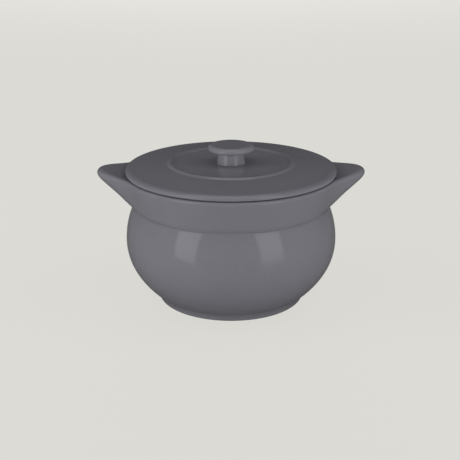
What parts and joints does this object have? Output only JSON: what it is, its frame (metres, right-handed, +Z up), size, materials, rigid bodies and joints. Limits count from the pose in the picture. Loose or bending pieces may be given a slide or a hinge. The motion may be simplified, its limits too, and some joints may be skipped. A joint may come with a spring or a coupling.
{
  "type": "soup tureen",
  "caption": "Round lidded soup tureen in dark grey glazed ceramic, with a flared collar drawn out into pointed lugs, a foot ring and a low lid with a raised ring and a disc knob that lifts off.",
  "frame": {"origin": "middle of the foot ring, on the surface that the tureen stands on", "axes": "+Z up along the axis of the pot, +X along the line through the two lugs, +Y away from the pictured front"},
  "size_m": [0.2624, 0.2088, 0.156],
  "materials": {
    "pot_glaze": "slate grey glaze with a faint violet cast, satin gloss",
    "lid_glaze": "the same slate grey glaze as the pot"
  },
  "bodies": {
    "pot": {"pot": "pot_glaze"},
    "lid": {"lid": "lid_glaze", "lid_knob": "lid_glaze"}
  },
  "joints": [
    {"name": "lid_lift", "type": "slide", "parent": "pot", "child": "lid", "axis": [0, 0, 1], "range_m": [0, 0.15]}
  ]
}
